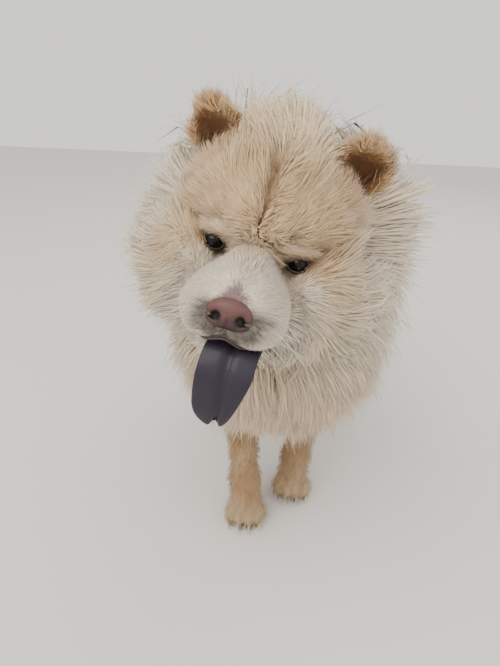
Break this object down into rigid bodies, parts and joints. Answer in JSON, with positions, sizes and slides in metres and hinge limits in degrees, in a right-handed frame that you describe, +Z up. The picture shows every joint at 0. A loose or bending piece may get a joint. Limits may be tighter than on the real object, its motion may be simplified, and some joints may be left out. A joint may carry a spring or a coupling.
{
  "type": "chow chow dog",
  "caption": "Life-size standing chow chow with a full mane, its head tilted, its tongue hanging out and its tail curled over its back.",
  "frame": {"origin": "on the floor, under the middle of the dog's box", "axes": "+Z up, -Y the way the dog faces, +X its left side"},
  "size_m": [0.3812, 0.7504, 0.6377],
  "materials": {
    "coat": "long cream to ivory hair",
    "leg_coat": "short trimmed tan hair",
    "ear_coat": "short orange-tan hair",
    "paw": "short grey-beige hair with pale claws",
    "eye": "wet, very dark brown",
    "nose_skin": "damp, fine-pebbled, dusty pink-brown",
    "tongue": "moist, blue-black, finely papillated"
  },
  "bodies": {
    "root": {"torso": "coat", "neck": "coat", "head": "coat", "jaw": "coat", "tail": "coat", "ear_left": "ear_coat", "ear_right": "ear_coat", "eye_left": "eye", "eye_right": "eye", "nose": "nose_skin", "tongue": "tongue", "foreleg_left": "leg_coat", "foreleg_right": "leg_coat", "hindleg_left": "leg_coat", "hindleg_right": "leg_coat", "forepaw_left": "paw", "forepaw_right": "paw", "hindpaw_left": "paw", "hindpaw_right": "paw"}
  },
  "joints": []
}
